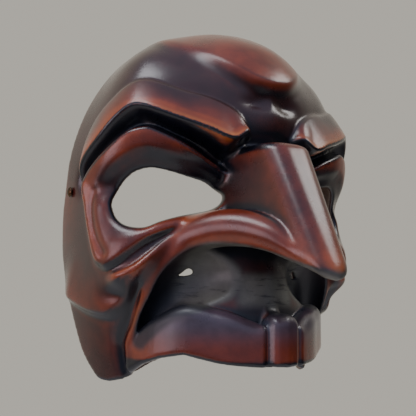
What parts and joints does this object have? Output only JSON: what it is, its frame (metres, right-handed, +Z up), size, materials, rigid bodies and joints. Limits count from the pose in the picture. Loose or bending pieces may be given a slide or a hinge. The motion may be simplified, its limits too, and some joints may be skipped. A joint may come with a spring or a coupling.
{
  "type": "half mask",
  "caption": "Moulded leather half mask with heavy brows, a long straight nose and an upper lip, padded inside and worn on an elastic strap.",
  "frame": {"origin": "where the wearer's face fills the mask: on the middle plane, just under eye level, level with the eye holes' inner corners in depth", "axes": "+Z up the face, -Y the way the mask looks, +X to the wearer's left"},
  "size_m": [0.1634, 0.1251, 0.1907],
  "materials": {
    "burnished_leather": "polished, dark red-brown with blue-black recesses",
    "hem_leather": "matt skived leather",
    "strap_leather": "satin",
    "steel_wire": "drawn wire",
    "antique_brass": "dark antique",
    "pad_suede": "matt suede over foam",
    "elastic": "ribbed woven elastic",
    "black_nylon": "satin moulded"
  },
  "bodies": {
    "mask": {"leather_shell": "burnished_leather", "rim_wire": "steel_wire", "rim_hem": "hem_leather", "forehead_pad": "pad_suede", "bridge_pad": "pad_suede", "cheek_pad_left": "pad_suede", "cheek_pad_right": "pad_suede", "rivet_left": "antique_brass", "rivet_right": "antique_brass", "spacer_left": "strap_leather", "spacer_right": "strap_leather", "burr_left": "antique_brass", "burr_right": "antique_brass"},
    "strap": {"strap_tab_left": "strap_leather", "strap_tab_right": "strap_leather", "strap_ring": "steel_wire", "head_strap": "elastic"},
    "slider": {"strap_slider": "black_nylon"}
  },
  "joints": [
    {"name": "strap_swing", "type": "hinge", "parent": "mask", "child": "strap", "pos_m": [0, 0.056, 0.008], "axis": [1, 0, 0], "range_deg": [0, 140]},
    {"name": "slider_slide", "type": "slide", "parent": "strap", "child": "slider", "axis": [1, 0, 0], "range_m": [-0.009, 0.009]}
  ]
}
